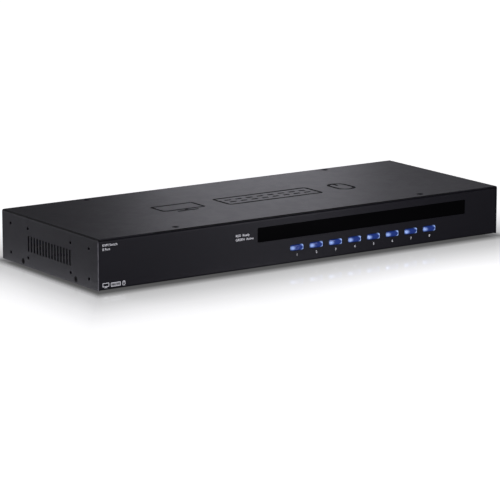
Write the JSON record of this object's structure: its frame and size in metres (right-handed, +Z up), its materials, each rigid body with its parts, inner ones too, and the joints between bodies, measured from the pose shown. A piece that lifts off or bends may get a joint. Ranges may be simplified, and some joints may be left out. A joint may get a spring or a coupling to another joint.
{
  "type": "kvm switch",
  "caption": "One-rack-unit steel box that shares a keyboard, screen and mouse between computers, with a smoked status window and push buttons on the front and ports on the rear.",
  "frame": {"origin": "on the surface the feet stand on, under the middle of the whole outline", "axes": "+X to the right seen from the front, +Y from the front to the rear, +Z up"},
  "size_m": [0.43, 0.1684, 0.0464],
  "materials": {
    "black_steel": "fine-grained satin black powder coat",
    "black_screw": "black oxide",
    "foot_rubber": "matt",
    "smoked_window": "polished smoked acrylic",
    "button_blue": "polished translucent blue",
    "black_plastic": "moulded, fine texture",
    "display_face": "polished",
    "led_red": "clear tinted lens",
    "led_green": "clear tinted lens",
    "green_board": "solder mask on glass-fibre board",
    "plated_steel": "bright nickel or zinc plate",
    "brass_standoff": "turned",
    "capacitor_can": "sleeved can",
    "ribbon_grey": "ribbed flat cable",
    "port_blue": "moulded",
    "jack_green": "moulded",
    "jack_purple": "moulded",
    "bright_pin": "plated"
  },
  "bodies": {
    "chassis": {"top_cover": "black_steel", "base_tray": "black_steel", "foot_front_left": "foot_rubber", "foot_front_right": "foot_rubber", "foot_rear_left": "foot_rubber", "foot_rear_right": "foot_rubber", "top_screws": "black_screw", "side_screws": "black_screw", "display_window": "smoked_window", "button_guide": "black_plastic", "switch_bodies": "black_plastic", "red_leds": "led_red", "green_leds": "led_green", "led_shroud": "black_plastic", "bank_display": "display_face", "front_board": "green_board", "front_standoffs": "plated_steel", "front_board_screws": "plated_steel", "main_board_screws": "plated_steel", "main_board": "green_board", "main_standoffs": "brass_standoff", "port_chips": "black_plastic", "controller_chip": "black_plastic", "crystal": "plated_steel", "capacitors": "capacitor_can", "buzzer": "black_plastic", "regulator": "black_plastic", "front_header": "black_plastic", "main_header": "black_plastic", "ribbon_cable": "ribbon_grey", "pc_port_shells": "plated_steel", "pc_port_inserts": "port_blue", "chain_port_shell": "plated_steel", "chain_port_insert": "black_plastic", "console_port_shell": "plated_steel", "console_port_insert": "port_blue", "port_jackscrews": "plated_steel", "mouse_jack": "jack_green", "keyboard_jack": "jack_purple", "power_jack": "black_plastic", "power_jack_pin": "bright_pin"},
    "push_1": {"button_1": "button_blue", "switch_plunger_1": "black_plastic"},
    "push_2": {"button_2": "button_blue", "switch_plunger_2": "black_plastic"},
    "push_3": {"button_3": "button_blue", "switch_plunger_3": "black_plastic"},
    "push_4": {"button_4": "button_blue", "switch_plunger_4": "black_plastic"},
    "push_5": {"button_5": "button_blue", "switch_plunger_5": "black_plastic"},
    "push_6": {"button_6": "button_blue", "switch_plunger_6": "black_plastic"},
    "push_7": {"button_7": "button_blue", "switch_plunger_7": "black_plastic"},
    "push_8": {"button_8": "button_blue", "switch_plunger_8": "black_plastic"}
  },
  "joints": [
    {"name": "button_1_press", "type": "slide", "parent": "chassis", "child": "push_1", "axis": [0, 1, 0], "range_m": [0, 0.0003], "stiffness_N_per_m": 4000, "springref_m": -0.0001},
    {"name": "button_2_press", "type": "slide", "parent": "chassis", "child": "push_2", "axis": [0, 1, 0], "range_m": [0, 0.0003], "stiffness_N_per_m": 4000, "springref_m": -0.0001},
    {"name": "button_3_press", "type": "slide", "parent": "chassis", "child": "push_3", "axis": [0, 1, 0], "range_m": [0, 0.0003], "stiffness_N_per_m": 4000, "springref_m": -0.0001},
    {"name": "button_4_press", "type": "slide", "parent": "chassis", "child": "push_4", "axis": [0, 1, 0], "range_m": [0, 0.0003], "stiffness_N_per_m": 4000, "springref_m": -0.0001},
    {"name": "button_5_press", "type": "slide", "parent": "chassis", "child": "push_5", "axis": [0, 1, 0], "range_m": [0, 0.0003], "stiffness_N_per_m": 4000, "springref_m": -0.0001},
    {"name": "button_6_press", "type": "slide", "parent": "chassis", "child": "push_6", "axis": [0, 1, 0], "range_m": [0, 0.0003], "stiffness_N_per_m": 4000, "springref_m": -0.0001},
    {"name": "button_7_press", "type": "slide", "parent": "chassis", "child": "push_7", "axis": [0, 1, 0], "range_m": [0, 0.0003], "stiffness_N_per_m": 4000, "springref_m": -0.0001},
    {"name": "button_8_press", "type": "slide", "parent": "chassis", "child": "push_8", "axis": [0, 1, 0], "range_m": [0, 0.0003], "stiffness_N_per_m": 4000, "springref_m": -0.0001}
  ]
}
